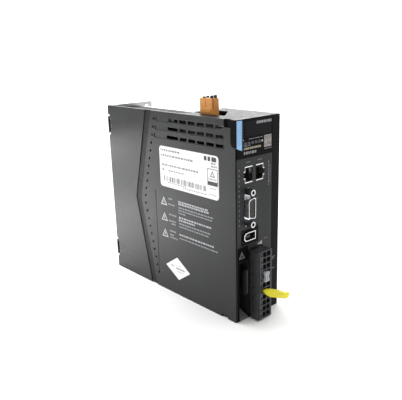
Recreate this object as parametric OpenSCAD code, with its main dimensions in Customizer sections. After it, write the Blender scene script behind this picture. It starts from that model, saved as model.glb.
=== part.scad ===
// Slim AC servo drive that bolts to the back wall of a control cabinet, in millimetres.
// X runs across the width, Y from the front (negative) to the back, and Z up.
// The origin is the middle of the underside. Positions inside the modules are given as
// distances from the left side, from the front face and from the underside.

/* [Body] */
// Width of the body
body_w = 48.5; // [48:0.5:50]
// Depth from the front face to the mounting face
body_d = 166; // [166:0.5:170]
// Height of the body
body_h = 160; // [160:0.5:162]
// Wall thickness of the plastic shells
wall = 1.8; // [1.6:0.1:2]
// Depth of the raised head behind the front face
head_d = 60; // [60:0.5:62]
// How far the grille sits below the rim of the side cover
grille_drop = 3; // [2:0.5:4]

/* [Side cover] */
// Height of the chevron groove's corner
chevron_z = 80; // [70:1:90]
// Width of the chevron groove
chevron_w = 8; // [6:0.5:10]
// Depth of the chevron groove
chevron_depth = 0.9; // [0.5:0.1:1]
// Vertical pitch of the vents
vent_pitch = 7; // [6.5:0.1:7]
// Height of a vent slot
slot_h = 2.6; // [2:0.1:3]
// Length of a vent slot
slot_l = 8.5; // [7:0.5:9]
// Radius of a round vent
vent_r = 1.1; // [0.8:0.1:1.4]

/* [Mounting] */
// Sideways distance between the two panel screws
mount_dx = 36; // [34:1:38]
// Height between the two panel screws
mount_dz = 150; // [150:1:151]
// Radius of the clearance hole for an M4 panel screw
mount_r = 2.3; // [2.2:0.05:2.4]

/* [Heatsink] */
// Number of cooling fins
fin_count = 15; // [12:1:15]
// Thickness of a fin
fin_t = 1.8; // [1.4:0.1:2]
// Pitch of the fins
fin_pitch = 6.6; // [6:0.1:6.6]

/* [Connectors] */
// Pitch of the power terminals
term_pitch = 5.08; // [5:0.04:5.08]
// Number of power terminals
term_count = 11; // [9:1:11]
// Width and height of a wire entry
entry = 4.2; // [3.4:0.1:4.2]
// Distance between the jackscrews
jack_pitch = 25; // [24.9:0.1:25.1]

/* [Hidden] */
$fn = 48;
top_z = body_h;
grille_z = body_h - grille_drop;
shell_gap = 0.2;
inner_x = wall + shell_gap;
right_in = body_w - wall;
sink_x = 30;
sink_base_t = 5;
sink_y = 62;
back_t = 4.8;
back_y = body_d - back_t;
floor_t = 1.5;
face_y = 0.1;
face_t = 2.4;
face_x = [0.9, 39.8];
cap_z = 131.5;
cap_back = 1.9;
tongue_y = 5.2;
tongue_z = 140;
window_x = [10, 39];
window_z = [146.6, 158.2];
key_x0 = 9.6;
key_pitch = 3.8;
key_z = 142;
key_w = 2.7;
key_h = 2.1;
light_x = 28.2;
jack_x = [9.4, 17.6];
jack_z = [112.1, 124.8];
latch_x = 8.2;
latch_z = [115.4, 121.4];
jack_mirror = 39.1;
dsub_x = 12.8;
dsub_z = 92.9;
dsub_reach = 4.6;
jack_reach = 5.4;
flange_y = [0.8, 1.7];
encoder_x = [8.4, 21.1];
encoder_z = [66, 72.9];
plug_x = [13.7, 29.4];
plug_z = [0.8, 58.2];
plug_y = [-10, -1.2];
nose_x = [15.9, 26.5];
nose_z = [3.3, 56.7];
nose_end = 12;
entry_x = 20.7;
pusher_x = 25.5;
top_term_z = 55.2;
bridge_rows = [3, 4];
lever_row = 6;
lever_y = -6;
power_x = 22.4;
control_x = 10;
board_t = 1.6;
safety_x = [15.3, 23];
safety_y = [40, 54.6];
safety_top = 171.5;
safety_nose_z = 148.4;
safety_columns = [17.2, 21.1];
power_posts = [[72, 20], [150, 20], [150, 132], [72, 132]];
control_posts = [[26, 70], [26, 134], [144, 70], [144, 134]];
wall_screws = [20, 80, 140];
wall_screw_y = 57;
earth_spots = [[69, 8], [79, 8]];
loop_spots = [142, 20.5];
cover_back = body_d - 0.8;

// Row coordinates of a distance from the left side and from the front face
function from_left(a) = a - body_w / 2;
function from_front(a) = a - body_d / 2;
// Front edge of the chevron groove, behind the front face, at height z
function chevron_y(z) = z > chevron_z ? 119 - (z - chevron_z) * 0.25 : 119 - (chevron_z - z) * 0.225;
// Height of power terminal row k, counted from the top
function term_z(k) = top_term_z - k * term_pitch;
// A span of half-width h about c
function span(c, h) = [c - h, c + h];

// A box from its spans in each direction
module block(x, y, z) {
    translate([from_left(x[0]), from_front(y[0]), z[0]])
        cube([x[1] - x[0], y[1] - y[0], z[1] - z[0]]);
}

// Round bars along each direction
module bar_x(r, x, y, z) {
    translate([from_left(x[0]), from_front(y), z]) rotate([0, 90, 0]) cylinder(r = r, h = x[1] - x[0]);
}

module bar_y(r, x, y, z) {
    translate([from_left(x), from_front(y[1]), z]) rotate([90, 0, 0]) cylinder(r = r, h = y[1] - y[0]);
}

module bar_z(r, x, y, z) {
    translate([from_left(x), from_front(y), z[0]]) cylinder(r = r, h = z[1] - z[0]);
}

// Outlines drawn as (behind the front, up), (from the left, up) and (from the left, behind the front)
module side_plate(x) {
    translate([from_left(x[0]), from_front(0), 0]) rotate([90, 0, 90])
        linear_extrude(x[1] - x[0]) children();
}

module front_plate(y) {
    translate([from_left(0), from_front(y[1]), 0]) rotate([90, 0, 0])
        linear_extrude(y[1] - y[0]) children();
}

module top_plate(z) {
    translate([from_left(0), from_front(0), z[0]]) linear_extrude(z[1] - z[0]) children();
}

// Flat rectangle with round corners
module rounded(a, b, r) {
    translate([a[0] + r, b[0]]) square([a[1] - a[0] - 2 * r, b[1] - b[0]]);
    translate([a[0], b[0] + r]) square([a[1] - a[0], b[1] - b[0] - 2 * r]);
    for (p = [a[0] + r, a[1] - r], q = [b[0] + r, b[1] - r]) translate([p, q]) circle(r);
}

// ---- Shells ----

module chevron_outline() {
    polygon([[chevron_y(0), -1], [chevron_y(chevron_z), chevron_z], [chevron_y(body_h), body_h + 1],
        [chevron_y(body_h) + chevron_w, body_h + 1], [chevron_y(chevron_z) + chevron_w, chevron_z],
        [chevron_y(0) + chevron_w, -1]]);
}

// Slots in three rows; the last of each row runs back to a line parallel to the chevron
module side_slots() {
    first_y = 12.9;
    pitch = 10.35;
    columns = 6;
    for (row = [0:2], column = [0:columns - 1]) {
        z = 153.5 - row * vent_pitch;
        start = first_y + column * pitch;
        end = column == columns - 1 ? chevron_y(z) - 24.6 : start + slot_l;
        side_plate([-1, wall + 1]) rounded([start, end], span(z, slot_h / 2), 0.8);
    }
}

// Shallow grooves that the slot rows lie in
module row_grooves() {
    groove_h = 1.9;
    for (row = [0:2]) {
        z = 153.5 - row * vent_pitch;
        block([-1, 0.5], [12, chevron_y(z) - 8], span(z, groove_h));
    }
}

// A column of round vents that follows the chevron
module side_vents() {
    for (k = [0:20]) {
        z = 153.5 - k * vent_pitch;
        bar_x(vent_r, [-1, wall + 1], chevron_y(z) - 5.5, z);
    }
}

// Openings of the snap loops in the rear edge, with a notch at each end of a loop
module rear_loops() {
    x = [-1, wall + 1];
    for (z = loop_spots) {
        block(x, [body_d - 4.6, body_d - 1.6], span(z, 6));
        for (side = [-1, 1]) block(x, [body_d - 3, body_d + 1], span(z + side * 8.6, 0.9));
    }
}

module left_cover() {
    tab_x = [wall - 0.2, wall + 1.8];
    color("#393c3e") {
        difference() {
            side_plate([0, wall]) rounded([0.7, cover_back], [0, body_h], 0.4);
            block([0.5, wall + 1], [0, face_y + face_t + 0.3], [-1, tongue_z + 1]);
            side_plate([-1, wall + 1]) rounded([-9, tongue_y + 0.2], [tongue_z - 0.2, body_h + 9], 4);
            side_plate([-1, chevron_depth]) chevron_outline();
            side_slots();
            row_grooves();
            side_vents();
            rear_loops();
            block([-1, 0.4], [97.2, 97.8], [13, 91]);
            block([-1, wall + 1], [tongue_y + 0.2, 12.2], [154, body_h + 1]);
            block([-1, wall + 1], [149, 150.4], [-1, 1.8]);
            block([-1, wall + 1], [10, 17], [-1, 2.4]);
        }
        for (z = loop_spots) block([0, wall], [body_d - 1.7, body_d], span(z, 7.7));
        for (y = [30, 48]) block(tab_x, [y, y + 6], [top_z - 4.4, top_z - 2.2]);
        for (y = [70, 110, 140]) block(tab_x, [y, y + 6], [grille_z - 4.4, grille_z - 2.2]);
        for (y = [30, 70, 110]) block(tab_x, [y, y + 6], [floor_t + 0.2, floor_t + 2.4]);
    }
}

// Two columns of cross slots, for the grille and the floor
module cross_slots(y, z) {
    slot = 2.6;
    pitch = 5.2;
    for (p = [y[0]:pitch:y[1] - slot], x = [4.6, 17.4]) {
        top_plate(z) rounded([x, x + 10.6], [p, p + slot], 1.2);
    }
}

module main_housing() {
    strip_x = 40.2;
    strip_y = 0.1;
    side_end = sink_y - 0.2;
    color("#2f3234") difference() {
        union() {
            side_plate([right_in, body_w]) rounded([strip_y, side_end], [0, body_h], 0.3);
            block([strip_x, body_w - 0.5], [strip_y, strip_y + wall], [0, body_h]);
            block([strip_x, right_in + 0.4], [strip_y + 0.2, 3.4], [top_z - 2, top_z]);
            block([inner_x, right_in + 0.4], [3.2, head_d], [top_z - 2, top_z]);
            block([inner_x, 3.2], [3.4, 12.6], [150, top_z - 1]);
            block([inner_x, right_in + 0.4], [head_d - 2, head_d], [grille_z - 2, top_z]);
            block([inner_x, right_in + 0.4], [head_d - 1, side_end], [grille_z - 2, grille_z]);
            block([inner_x, sink_x - 0.4], [head_d - 2, back_y - 0.2], [grille_z - 2, grille_z]);
            block([inner_x, right_in + 0.4], [3, side_end], [0, floor_t]);
            block([inner_x, strip_x], [0.4, 4], [0, floor_t - 0.2]);
            block([inner_x, sink_x - 0.4], [side_end - 1, back_y - 0.2], [0, floor_t]);
        }
        top_plate([top_z - 3, top_z + 1])
            polygon([[12, 24.5], [14, 24.5], [33, 40.5], [33, 57], [12, 57]]);
        cross_slots([66, 158], [grille_z - 3, grille_z + 1]);
        cross_slots([22, 148], [-1, floor_t + 1]);
        block([-1, 12], [149, body_d], [-1, floor_t + 1]);
        for (row = [0:2], column = [0:3]) {
            side_plate([right_in - 1, body_w + 1])
                rounded([12 + column * 10.35, 12 + column * 10.35 + slot_l],
                    span(139.5 + row * vent_pitch, slot_h / 2), 0.8);
        }
        for (z = wall_screws) {
            bar_x(1.7, [right_in - 1, body_w + 1], wall_screw_y, z);
            bar_x(3.1, [body_w - 1, body_w + 1], wall_screw_y, z);
        }
    }
}

module dsub_outline(grow) {
    half_x = 3.8 + grow;
    narrow = 7.3 + grow;
    wide = 8.2 + grow;
    corner = 1.2;
    translate([dsub_x, dsub_z]) polygon([[-half_x, narrow - corner], [-half_x + corner, narrow],
        [half_x - corner, wide], [half_x, wide - corner], [half_x, corner - wide],
        [half_x - corner, -wide], [-half_x + corner, -narrow], [-half_x, corner - narrow]]);
}

module encoder_outline(grow) {
    chamfer = 1.8;
    x = [encoder_x[0] - grow, encoder_x[1] + grow];
    z = [encoder_z[0] - grow, encoder_z[1] + grow];
    polygon([[x[0] + chamfer, z[0]], [x[1], z[0]], [x[1], z[1]], [x[0] + chamfer, z[1]],
        [x[0], z[1] - chamfer], [x[0], z[0] + chamfer]]);
}

// Mouth of a network jack lying on its side, with the latch notch towards the left
module jack_outline(side, level) {
    translate([jack_x[0] - side, jack_z[0] - level])
        square([jack_x[1] - jack_x[0] + 2 * side, jack_z[1] - jack_z[0] + 2 * level]);
    translate([latch_x - side, latch_z[0] - level])
        square([jack_x[0] - latch_x + 1 + side, latch_z[1] - latch_z[0] + 2 * level]);
}

// The right-hand jack is the left one mirrored about the divider
module right_hand() {
    translate([2 * from_left(jack_mirror / 2), 0, 0]) mirror([1, 0, 0]) children();
}

module front_fascia() {
    behind = face_y + face_t + 1;
    color("#343638") difference() {
        front_plate([face_y, face_y + face_t]) difference() {
            rounded(face_x, [floor_t, cap_z - 0.3], 0.5);
            translate([3.2, 0]) square([10.4, 50]);
            translate([13.2, 0]) square([17, 58.6]);
            dsub_outline(0.3);
            rounded(span(dsub_x, 3.8), span(dsub_z, 10.8), 0.5);
            for (side = [-1, 1]) translate([dsub_x, dsub_z + side * jack_pitch / 2]) circle(3.05);
            encoder_outline(1);
        }
        front_plate([-1, behind]) jack_outline(0, 0);
        right_hand() front_plate([-1, behind]) jack_outline(0, 0);
        front_plate([flange_y[0] - 0.1, behind]) rounded(span(dsub_x, 6.5), span(dsub_z, 15.8), 1.5);
        front_plate([-1, face_y + 0.8]) rounded([4.6, 24.6], [62.9, 77], 1);
    }
}

module terminal_bay() {
    x = [2.4, 31.4];
    z = [floor_t + 0.1, 63.6];
    t = 1.2;
    front = face_y + face_t + 0.1;
    back = [14.8, 16];
    color("#17181a") {
        difference() {
            block(x, [front, back[1]], z);
            block([x[0] + t, x[1] - t], [front - 1, back[0]], [z[0] - 1, z[1] - t]);
            block([13.2, 28.6], [front, back[1] + 1], [z[0] - 1, 58.7]);
        }
        side_plate([x[0] + t, 13])
            polygon([[front, z[0]], [back[0], z[0]], [back[0], 7.5], [front, z[0] + 0.8]]);
    }
}

// ---- Display and keys ----

module key_openings() {
    for (k = [0:4]) {
        front_plate([-1, cap_back + 1]) rounded(span(key_x0 + k * key_pitch, key_w / 2 + 0.15),
            span(key_z, key_h / 2 + 0.15), 0.4);
    }
}

module upper_cap() {
    color("#1d1c1f") {
        difference() {
            union() {
                front_plate([0, cap_back]) rounded([face_x[0], face_x[1]], [cap_z, top_z], 0.5);
                front_plate([0, cap_back]) rounded([0, 8], [tongue_z, top_z], 0.8);
                side_plate([0, 1.6]) intersection() {
                    rounded([-9, tongue_y], [tongue_z, top_z + 9], 3.8);
                    translate([0, tongue_z]) square([tongue_y, top_z - tongue_z]);
                }
                block([0.2, face_x[1]], [1, 3], [top_z - 1.8, top_z]);
            }
            front_plate([-1, 0.8]) rounded(window_x, window_z, 0.8);
            front_plate([-1, cap_back + 1]) rounded([12, 37], [148, 157], 0.5);
            front_plate([-1, 0.5]) blue_outline(0.05);
            key_openings();
            bar_y(0.85, light_x, [-1, cap_back + 1], key_z);
        }
        for (p = [[5.5, 136], [37.2, 136], [5.5, 155.2]]) bar_y(1.7, p[0], [cap_back - 0.2, 8], p[1]);
    }
}

module blue_outline(grow) {
    polygon([[0.95 - grow, 139.4 - grow], [6.2 + grow, 137.2 - grow], [6.2 + grow, 159.2 + grow],
        [0.95 - grow, 159.2 + grow]]);
}

module blue_strip() {
    color("#8fbfe6") front_plate([0, 0.5]) blue_outline(0);
}

module display_window() {
    color("#0b0b0d") front_plate([0.05, 0.8])
        rounded([window_x[0] + 0.1, window_x[1] - 0.1], [window_z[0] + 0.1, window_z[1] - 0.1], 0.7);
}

module display_module() {
    digits = 5;
    digit_pitch = 4.7;
    color("#202124") difference() {
        block([12.2, 36.8], [2.2, 8], [147.8, 157.2]);
        for (k = [0:digits - 1]) {
            front_plate([1, 2.5]) translate([14.1 + k * digit_pitch, 149.4]) difference() {
                square([3.2, 6.2]);
                for (half = [0, 1]) translate([0.7, 0.7 + half * 2.7]) square([1.8, 2.1]);
            }
        }
    }
}

module display_board() {
    color("#1f5a38") block([4, 39], [8, 8 + board_t], [134, 157.4]);
}

module status_light_pipe() {
    color("#d8e0d8") bar_y(0.8, light_x, [-0.15, 8], key_z);
}

// A key cap that passes through the panel, with a flange and a stem behind it
module key(k) {
    x = key_x0 + k * key_pitch;
    color("#4a4c50") {
        front_plate([-0.5, cap_back + 0.3]) rounded(span(x, key_w / 2), span(key_z, key_h / 2), 0.35);
        block(span(x, 1.65), [cap_back + 0.2, cap_back + 0.8], span(key_z, 1.6));
        bar_y(0.8, x, [cap_back + 0.7, 4.7], key_z);
    }
}

module key_mode() { key(0); }

module key_up() { key(1); }

module key_down() { key(2); }

module key_shift() { key(3); }

module key_set() { key(4); }

module key_switches() {
    color("#111214") for (k = [0:4]) {
        x = key_x0 + k * key_pitch;
        block(span(x, 1.6), [6, 8], span(key_z, 1.6));
        bar_y(0.7, x, [5.4, 6.2], key_z);
    }
}

// ---- Signal connectors ----

// Shield of a network jack: a collar in the panel and a larger can behind it
module jack_shield() {
    color("#c9ccd0") difference() {
        union() {
            front_plate([0, 3.4]) jack_outline(-0.1, -0.1);
            block([7.2, 18.7], [face_y + face_t + 0.1, 16], [jack_z[0] - 0.8, jack_z[1] + 0.8]);
        }
        front_plate([-1, 11]) jack_outline(-0.35, -0.8);
        block([9.6, 18.2], [face_y + face_t + 0.6, 13], [jack_z[0] - 0.2, jack_z[1] + 0.2]);
    }
}

module jack_insert() {
    z = [jack_z[0] - 0.2, jack_z[1] + 0.2];
    color("#141517") {
        block([17, 18.2], [3.6, 13], z);
        block([9.6, 18.2], [11.4, 13], z);
    }
}

module jack_contacts() {
    contact_pitch = 1.02;
    centre = (jack_z[0] + jack_z[1]) / 2;
    color("#d9b45a") for (k = [0:7]) {
        top_plate(span(centre + (k - 3.5) * contact_pitch, 0.22))
            polygon([[17, 7.6], [17, 8.2], [15.2, 11.4], [14.6, 11.4]]);
    }
}

module ethernet_shield_left() { jack_shield(); }

module ethernet_shield_right() { right_hand() jack_shield(); }

module ethernet_inserts() {
    jack_insert();
    right_hand() jack_insert();
}

module ethernet_contacts() {
    jack_contacts();
    right_hand() jack_contacts();
}

module dsub_shell() {
    color("#c4c7ca") difference() {
        union() {
            front_plate([-dsub_reach, flange_y[1]]) dsub_outline(0);
            front_plate(flange_y) rounded(span(dsub_x, 6.25), span(dsub_z, 15.4), 1.5);
        }
        front_plate([-dsub_reach - 1, flange_y[1] + 1]) dsub_outline(-0.5);
        for (side = [-1, 1]) bar_y(1.6, dsub_x, [0, 3], dsub_z + side * jack_pitch / 2);
    }
}

// Insulator with three staggered rows of five sockets
module dsub_insert() {
    socket_pitch = 2.29;
    row_pitch = 1.98;
    color("#1b1c1e") difference() {
        union() {
            front_plate([-dsub_reach + 0.5, 4]) dsub_outline(-0.55);
            block(span(dsub_x, 4.6), [flange_y[1], 16], span(dsub_z, 15));
        }
        for (side = [-1, 1]) bar_y(1.6, dsub_x, [1, 9], dsub_z + side * jack_pitch / 2);
        for (row = [-1:1], k = [-2:2]) {
            bar_y(0.6, dsub_x + row * row_pitch, [-dsub_reach, 1.5], dsub_z + k * socket_pitch + row * 0.57);
        }
    }
}

// Hexagonal jackscrews with a tapped end
module dsub_jackscrews() {
    color("#b9bcc0") for (side = [-1, 1]) {
        z = dsub_z + side * jack_pitch / 2;
        difference() {
            union() {
                translate([from_left(dsub_x), from_front(flange_y[0]), z]) rotate([90, 30, 0])
                    cylinder(r = 2.85, h = flange_y[0] + jack_reach, $fn = 6);
                bar_y(1.45, dsub_x, [0, 8], z);
            }
            bar_y(1.4, dsub_x, [-jack_reach - 1, 0.4], z);
        }
    }
}

module encoder_shell() {
    color("#cdd0d3") difference() {
        front_plate([-0.4, 16]) encoder_outline(0);
        front_plate([-1.4, 17]) encoder_outline(-0.6);
    }
}

module encoder_insert() {
    color("#202225") {
        front_plate([12, 16]) encoder_outline(-0.6);
        block([10.2, 15.7], [0.6, 12.2], [68.2, 70.6]);
    }
}

// ---- Boards and power parts ----

module io_board() {
    color("#1f5a38") block([3.6, 34], [16, 16 + board_t], [65, 129.5]);
}

module control_board() {
    color("#1f5a38") difference() {
        side_plate([control_x, control_x + board_t]) translate([20, 64]) square([130, 88]);
        for (p = control_posts) bar_x(1.7, [control_x - 1, control_x + board_t + 1], p[0], p[1]);
    }
}

module processor_chips() {
    color("#131416") for (chip = [[60, 92, 22], [96, 98, 16], [62, 124, 12], [120, 122, 10]]) {
        block([control_x - 1.6, control_x], [chip[0], chip[0] + chip[2]], [chip[1], chip[1] + chip[2]]);
    }
}

// Plugs between the control board and the power board, and the control board and the front board
module board_link_connectors() {
    color("#dcd8c8") {
        block([control_x + board_t, power_x], [130, 138], [84, 124]);
        block([control_x + board_t, 18], [16 + board_t, 26], [96, 116]);
    }
}

module insulator_sheet() {
    color("#e8e2c4") difference() {
        block([16.5, 16.9], [24, 126], [64, 139]);
        for (p = control_posts) bar_x(3.3, [16, 18], p[0], p[1]);
        block([16, 17.4], [23, 26.4], [95.6, 116.4]);
    }
}

module power_board() {
    color("#24613d") difference() {
        side_plate([power_x, power_x + board_t]) translate([22, 3]) square([134, 137]);
        for (p = power_posts) bar_x(1.7, [power_x - 1, power_x + board_t + 1], p[0], p[1]);
    }
}

module power_module() {
    color("#1a1b1d") block([power_x + board_t, sink_x - 0.4], [88, 130], [62, 90]);
}

module rectifier_bridge() {
    color("#222326") block([power_x + board_t, sink_x - 0.4], [92, 122], [98, 118]);
}

module thermal_pads() {
    color("#b8bcc4") {
        block([sink_x - 0.4, sink_x], [88, 130], [62, 90]);
        block([sink_x - 0.4, sink_x], [92, 122], [98, 118]);
    }
}

module bus_capacitors() {
    r = 10.4;
    for (z = [66, 107]) {
        color("#27303f") difference() {
            bar_z(r, power_x + board_t + r, 35, [z, z + 37]);
            bar_z(r - 1.4, power_x + board_t + r, 35, [z + 36.4, z + 38]);
        }
    }
}

module precharge_relay() {
    color("#e3e4e2") block([power_x + board_t, 39.5], [47.2, 59.4], [108, 136]);
}

module input_choke() {
    ring = 10;
    wire = 4.2;
    seat = 27;
    color("#9a5b2c") {
        translate([from_left(seat + wire), from_front(40), 38]) rotate([0, 90, 0])
            rotate_extrude() translate([ring, 0]) circle(wire);
        block([power_x + board_t, seat + 0.6], [28, 52], [26, 50]);
    }
}

module line_fuse() {
    x = 27;
    y = 53;
    color("#d8d3c2") {
        bar_z(2.5, x, y, [74, 96]);
        for (z = [74, 90.5]) bar_z(3, x, y, [z, z + 5.5]);
    }
}

module standoffs() {
    color("#c9a65a") {
        for (p = control_posts) difference() {
            bar_x(3, [control_x + board_t, power_x], p[0], p[1]);
            bar_x(1.3, [control_x, control_x + 8], p[0], p[1]);
        }
        for (p = power_posts) difference() {
            bar_x(3, [power_x + board_t, sink_x], p[0], p[1]);
            bar_x(1.7, [power_x, sink_x + 1], p[0], p[1]);
        }
    }
}

// Pan-head screw along X with a cross recess, its head ending at x
module screw_x(x, y, z, reach, head_r, r, head) {
    difference() {
        union() {
            bar_x(head_r, [x - head, x], y, z);
            bar_x(r, [x - 0.1, x + reach], y, z);
        }
        block([x - head - 1, x - head * 0.4], span(y, 0.35), span(z, head_r * 0.6));
        block([x - head - 1, x - head * 0.4], span(y, head_r * 0.6), span(z, 0.35));
    }
}

module board_screws() {
    color("#b5b8bb") {
        for (p = control_posts) screw_x(control_x, p[0], p[1], 7, 2.7, 1.25, 1.7);
        for (p = power_posts) screw_x(power_x, p[0], p[1], 11.4, 2.7, 1.25, 1.7);
    }
}

// Screws that come in from the right-hand side
module screw_from_right(x, y, z, reach, head_r, r, head) {
    translate([2 * from_left(x), 0, 0]) mirror([1, 0, 0]) screw_x(x, y, z, reach, head_r, r, head);
}

module housing_screws() {
    color("#8c8f92") for (z = wall_screws) screw_from_right(body_w - 1, wall_screw_y, z, 5.6, 2.8, 1.25, 0.9);
}

module earth_screws() {
    color("#3f9a55") for (p = earth_spots) screw_from_right(45.6, p[0], p[1], 7.4, 3.6, 1.65, 2.2);
}

module heatsink() {
    mount_x = [body_w / 2 + mount_dx / 2, body_w / 2 - mount_dx / 2];
    mount_z = [body_h / 2 + mount_dz / 2, body_h / 2 - mount_dz / 2];
    color("#a9adb1") difference() {
        union() {
            block([sink_x, sink_x + sink_base_t], [sink_y, back_y + 1], [0, grille_z - 0.5]);
            for (k = [0:fin_count - 1]) {
                y = sink_y + 0.4 + k * fin_pitch;
                fin_top = y > 138 ? 146 : grille_z - 1;
                block([sink_x + 4, body_w], [y, y + fin_t], [0, fin_top]);
            }
            front_plate([back_y, body_d]) rounded([inner_x, body_w], [0, body_h], 1.5);
            block([41, right_in - 0.2], [52, sink_y + 1], [8, 150]);
            block([sink_x + 4, 45.6], [sink_y + 1, 85], [0, 16]);
        }
        block([45.6, body_w + 1], [sink_y - 1, 85], [-1, 18]);
        for (z = loop_spots) block([-1, 7], [back_y - 1, body_d + 1], span(z, 10));
        for (k = [0, 1]) bar_y(mount_r, mount_x[k], [back_y - 1, body_d + 1], mount_z[k]);
        for (p = power_posts) bar_x(1.3, [sink_x - 1, sink_x + 4.4], p[0], p[1]);
        for (z = wall_screws) bar_x(1.3, [40, right_in + 1], wall_screw_y, z);
        for (p = earth_spots) bar_x(1.7, [38, 47], p[0], p[1]);
    }
}

// ---- Power terminals ----

// Shroud that receives the plug's nose, with a pointed lock rail on its left
module power_header() {
    x = [nose_x[0] - 1.5, nose_x[1] + 1.5];
    z = [nose_z[0] - 1.5, nose_z[1] + 1.5];
    color("#1b1c1e") difference() {
        union() {
            block(x, [1, 18], z);
            front_plate([2, 5])
                polygon([[10.8, 22], [12.4, 19], [14.6, 19], [14.6, 41.5], [12.4, 41.5], [10.8, 38.5]]);
        }
        block(span((nose_x[0] + nose_x[1]) / 2, (nose_x[1] - nose_x[0]) / 2 + 0.3), [0, nose_end + 0.5],
            [nose_z[0] - 0.3, nose_z[1] + 0.3]);
        for (k = [0:term_count - 1]) block(span(entry_x, 0.5), [nose_end, 19], span(term_z(k), 0.5));
    }
}

module power_header_pins() {
    color("#cfd2d4") for (k = [0:term_count - 1]) {
        block(span(entry_x, 0.5), [4, 26], span(term_z(k), 0.5));
        block([entry_x + 0.4, power_x], [24.6, 26], span(term_z(k), 0.5));
    }
}

module power_plug() {
    ridge_x = [14.7, 18.2];
    color("#25272a") difference() {
        union() {
            front_plate(plug_y) rounded(plug_x, plug_z, 0.7);
            block(ridge_x, [plug_y[0] - 0.7, plug_y[0] + 1], [plug_z[0] + 1.4, plug_z[1] - 1.4]);
            block(nose_x, [plug_y[1] - 1, nose_end], nose_z);
        }
        for (k = [0:term_count - 1]) {
            z = term_z(k);
            block(span(entry_x, entry / 2), [plug_y[0] - 1, -1.2], span(z, entry / 2));
            block(span(pusher_x, entry / 2), [plug_y[0] - 1, -3.4], span(z, entry / 2));
            block(span(entry_x, 0.8), [-2, nose_end + 1], span(z, 0.8));
            bar_y(1.05, 16.45, [plug_y[0] - 1.6, plug_y[0] - 0.2], z);
        }
        for (k = [1:2:term_count - 2]) {
            block([plug_x[0] - 1, plug_x[0] + 0.6], [-5.2, -2.8], span(term_z(k), 1.6));
        }
    }
}

// Cage clamps behind the wire entries
module clamp_springs() {
    color("#b7babd") for (k = [0:term_count - 1]) {
        difference() {
            block(span(entry_x, entry / 2), [-4.6, -1.2], span(term_z(k), entry / 2));
            block(span(entry_x, 1.4), [-5.6, -1.8], span(term_z(k), 1.4));
            block(span(entry_x, 0.8), [-3, 0], span(term_z(k), 0.8));
        }
    }
}

// Link that joins two neighbouring terminals, with a waisted grip
module terminal_bridge() {
    middle = (term_z(bridge_rows[0]) + term_z(bridge_rows[1])) / 2 - 0.3;
    low = middle - 3.9;
    high = middle + 3.9;
    face = plug_y[0] - 2.5;
    color("#a9abb0") {
        difference() {
            front_plate([face, plug_y[0] - 0.4]) translate([entry_x + 1, 0])
                polygon([[-2.4, low], [2.4, low], [2.4, low + 1.6], [1.7, middle], [2.4, high - 1.6],
                    [2.4, high], [-2.4, high], [-2.4, high - 1.6], [-1.7, middle], [-2.4, low + 1.6]]);
            block(span(entry_x + 1, 0.25), [face - 1, face + 0.6], [low + 1.4, high - 1.4]);
        }
        for (k = bridge_rows) block(span(entry_x, 1), [plug_y[0] - 0.5, -5.4], span(term_z(k), 0.9));
    }
}

// Opening lever: a barrel and neck in the wire entry and a tilted paddle for the finger
module clamp_lever() {
    x = span(entry_x, 1.25);
    color("#e6dc2e") {
        bar_x(0.9, x, lever_y, term_z(lever_row));
        side_plate(x) translate([lever_y, term_z(lever_row)])
            polygon([[0, -0.8], [0, 0.8], [-3.4, 0.9], [-5.6, 2], [-10.4, 3.5], [-16.2, 4.8], [-26.4, 6.4],
                [-27.5, 5.8], [-27.9, 4.4], [-27.2, 2.4], [-25.8, 1.5], [-11, -2.5], [-7.4, -2],
                [-4.6, -0.95]]);
    }
}

// ---- Safety connector on the top ----

safety_pins = [for (x = safety_columns, y = [44, 51]) [x, y]];

module safety_header() {
    color("#1c1d1f") difference() {
        block([control_x + board_t, safety_x[1] + 1.4], [safety_y[0] - 1.2, safety_y[1] + 1.2], [142, 157]);
        block([safety_x[0] - 0.3, safety_x[1] + 0.3], [safety_y[0] - 0.3, safety_y[1] + 0.3],
            [safety_nose_z - 0.4, 158]);
        for (p = safety_pins) bar_z(0.5, p[0], p[1], [141, 149]);
    }
}

module safety_header_pins() {
    color("#cfd2d4") for (p = safety_pins) bar_z(0.5, p[0], p[1], [142, 154]);
}

// Position of safety pusher k on the plug's top: front pair, then rear pair
function safety_pusher_at(k) = [safety_columns[k % 2], k < 2 ? 42.3 : 51];

module safety_plug() {
    middle_y = (safety_y[0] + safety_y[1]) / 2;
    color("#e2975a") difference() {
        union() {
            top_plate([safety_nose_z, safety_top]) rounded(safety_x, safety_y, 0.6);
            block([safety_x[0] - 0.6, safety_x[1] + 0.6], [safety_y[0] + 1.4, safety_y[1] - 1.4],
                [160.6, 163.6]);
        }
        for (p = safety_pins) bar_z(0.8, p[0], p[1], [safety_nose_z - 1, 156]);
        for (k = [0:3]) {
            p = safety_pusher_at(k);
            block(span(p[0], 1.35), span(p[1], 1.3), [163.4, safety_top + 1]);
        }
        for (x = safety_columns, y = [45.4, 47.9]) bar_z(0.85, x, y, [164, safety_top + 1]);
        block([safety_x[0] - 1, safety_x[0] + 0.5], span(middle_y, 0.3), [163.6, safety_top + 1]);
        block(span(safety_x[0] + 0.9, 0.3), [safety_y[0] - 1, safety_y[0] + 0.5], [163.6, safety_top + 1]);
    }
}

module safety_pusher(k) {
    p = safety_pusher_at(k);
    proud = k < 2 ? 2.4 : 1.2;
    color("#18191b") top_plate([165, safety_top + proud]) rounded(span(p[0], 1.1), span(p[1], 1), 0.3);
}

module safety_pusher_1() { safety_pusher(0); }

module safety_pusher_2() { safety_pusher(1); }

module safety_pusher_3() { safety_pusher(2); }

module safety_pusher_4() { safety_pusher(3); }

// ---- Labels ----

module rating_label() {
    color("#eeeeec") side_plate([-0.15, 0]) rounded([18, 89.4], [97, 131.6], 3);
}

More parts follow.
